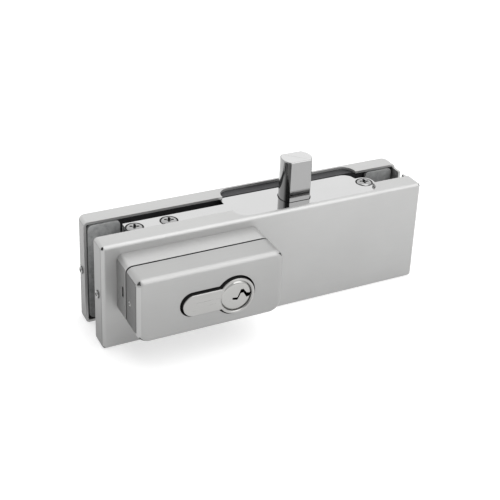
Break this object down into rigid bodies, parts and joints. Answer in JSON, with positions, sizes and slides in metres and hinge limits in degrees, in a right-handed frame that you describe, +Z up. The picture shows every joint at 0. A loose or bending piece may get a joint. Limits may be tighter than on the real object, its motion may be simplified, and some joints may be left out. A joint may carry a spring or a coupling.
{
  "type": "glass door patch lock",
  "caption": "Clamp-on lock for a glass door: sheet covers over a cast clamp, a key cylinder lying on its side in a front housing, and a bolt that slides up through a polished top plate.",
  "frame": {"origin": "under the middle of the whole lock, housing included, on the lower edges of the covers", "axes": "+X along the lock from the cylinder end to the other end, +Y from the key side to the plain side, +Z up along the bolt's travel"},
  "size_m": [0.1616, 0.058, 0.0696],
  "materials": {
    "cover_steel": "satin brushed stainless sheet",
    "casting": "dark die casting",
    "plate_steel": "bright zinc plated sheet",
    "screw_steel": "zinc plated screws",
    "polished_steel": "mirror polished stainless",
    "pad": "grey fibre and rubber sheet",
    "bright_screw": "bright grub screws",
    "housing_metal": "satin finished casting",
    "nickel_brass": "satin nickel plate on brass",
    "brass": "plain turned brass",
    "spring_steel": "spring steel",
    "cam_steel": "sintered steel",
    "guide_plastic": "black acetal"
  },
  "bodies": {
    "case": {"front_cover": "cover_steel", "rear_cover": "cover_steel", "lock_body": "casting", "rear_clamp_plate": "casting", "bolt_back_plate": "plate_steel", "cam_back_plate": "plate_steel", "back_plate_screws": "screw_steel", "top_plate": "polished_steel", "top_plate_screws": "polished_steel", "front_left_pad": "pad", "front_right_pad": "pad", "rear_left_pad": "pad", "rear_right_pad": "pad", "clamp_screws": "screw_steel", "cover_end_screws": "bright_screw", "housing_base": "housing_metal", "housing_cap": "cover_steel", "housing_screws": "screw_steel", "cap_set_screws": "bright_screw", "cylinder_body": "nickel_brass", "cylinder_fixing_screw": "screw_steel", "driver_pins": "brass", "pin_springs": "spring_steel", "pin_chamber_caps": "nickel_brass", "bolt_guide": "guide_plastic", "bolt_brake_spring": "spring_steel"},
    "key_plug": {"cylinder_plug": "nickel_brass", "key_pins": "brass", "cylinder_cam": "cam_steel", "plug_clip": "spring_steel"},
    "bolt_set": {"bolt": "polished_steel", "bolt_tail": "plate_steel", "tail_rivets": "screw_steel"}
  },
  "joints": [
    {"name": "key_turn", "type": "hinge", "parent": "case", "child": "key_plug", "pos_m": [-0.0289, -0.00725, 0.03], "axis": [0, 1, 0], "range_deg": [-2, 104]},
    {"name": "bolt_slide", "type": "slide", "parent": "case", "child": "bolt_set", "axis": [0, 0, 1], "range_m": [-0.02, 0]}
  ],
  "couplings": [
    {"joint": "key_turn", "follows": "bolt_slide", "rad_per_m": -87.7}
  ]
}
